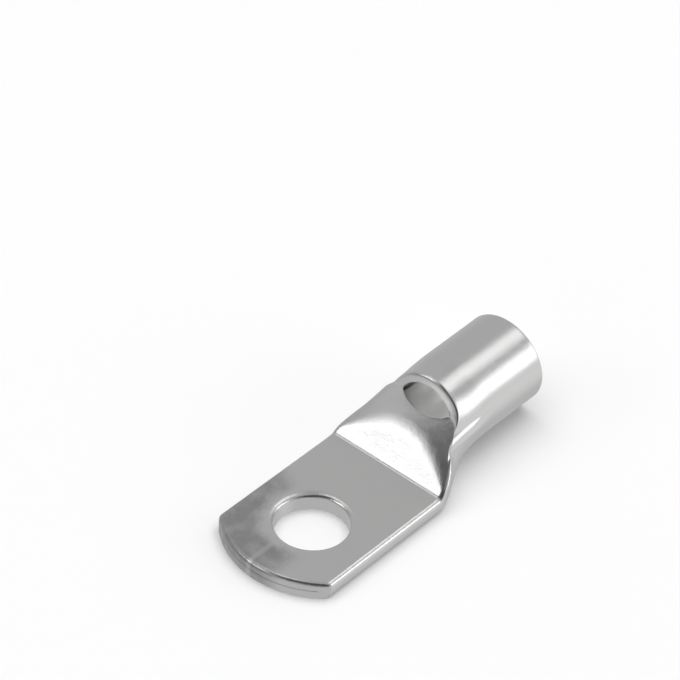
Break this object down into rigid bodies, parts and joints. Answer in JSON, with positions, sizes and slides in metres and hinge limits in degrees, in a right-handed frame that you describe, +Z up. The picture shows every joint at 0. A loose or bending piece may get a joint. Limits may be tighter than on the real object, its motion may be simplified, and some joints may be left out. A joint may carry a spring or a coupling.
{
  "type": "copper cable lug",
  "caption": "Tinned copper tube lug: a round barrel takes the stripped conductor, a pressed neck with an inspection window leads to a flat palm with a bolt hole.",
  "frame": {"origin": "centre of the bolt hole, at the palm's underside", "axes": "+X runs from the palm to the barrel's open end along the barrel's axis, +Y is to the side, +Z is up out of the palm; the lug is symmetric about the plane Y = 0"},
  "size_m": [0.0416, 0.0162, 0.0107],
  "materials": {
    "tinned_copper": "satin tin plating over copper"
  },
  "bodies": {
    "root": {"cable_lug": "tinned_copper"}
  },
  "joints": []
}
